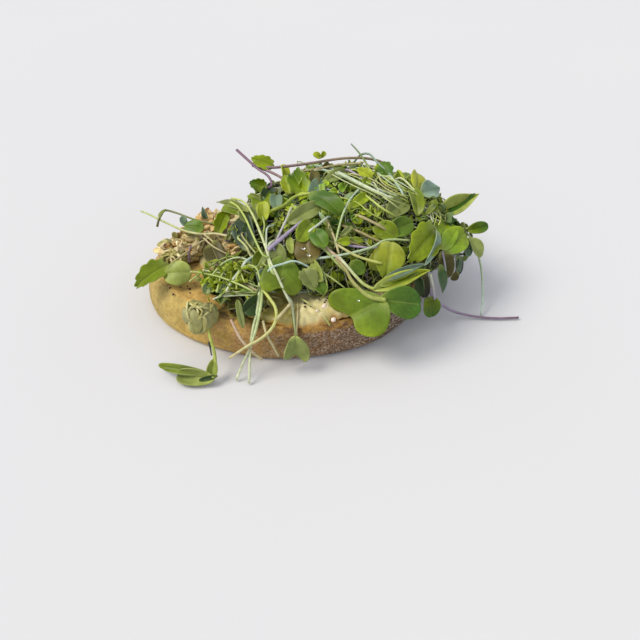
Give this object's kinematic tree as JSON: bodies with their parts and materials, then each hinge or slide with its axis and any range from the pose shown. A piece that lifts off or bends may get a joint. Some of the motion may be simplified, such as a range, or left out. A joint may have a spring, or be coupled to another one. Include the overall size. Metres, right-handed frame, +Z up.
{
  "type": "open sandwich",
  "caption": "Open sandwich: an oval slice of toasted rustic bread under soft cheese, grilled artichoke pieces and a tall loose heap of microgreens with sprigs over the edge.",
  "frame": {"origin": "middle of the bread slice's flat underside, on the surface that it rests on", "axes": "+X along the slice's long axis, towards the end where the heap overhangs; -Y towards the front, where the cheese shows; +Z up"},
  "size_m": [0.1899, 0.1295, 0.0663],
  "materials": {
    "crust": "toasted bread crust, floury and matte, with golden crumb",
    "cheese": "soft cheese, pale cream, moist and satin",
    "artichoke": "grilled artichoke, oily, with browned edges",
    "greens": "fresh microgreens, mixed greens with dark gaps",
    "leaf": "fresh leaf, satin with a paler underside",
    "pale_stem": "juicy pale stem, slightly translucent",
    "purple_stem": "juicy purple stem, slightly translucent"
  },
  "bodies": {
    "root": {"bread_slice": "crust", "soft_cheese": "cheese", "artichoke_left": "artichoke", "artichoke_golden": "artichoke", "artichoke_middle": "artichoke", "artichoke_front": "artichoke", "microgreens_heap": "greens", "sprig_draped_front_left": "leaf", "sprig_left_leaf": "leaf", "sprig_right_folded": "leaf", "sprig_right_small": "leaf", "sprig_right_hanging": "leaf", "leaf_front_pair": "leaf", "leaf_small_front": "leaf", "sprig_left_pale": "pale_stem", "stem_front_long": "pale_stem", "stem_front_short": "pale_stem", "stem_front_crossing": "pale_stem", "stem_front_right": "pale_stem", "sprig_left_hooked": "purple_stem", "sprig_top_purple": "purple_stem", "sprig_right_purple": "purple_stem"}
  },
  "joints": []
}
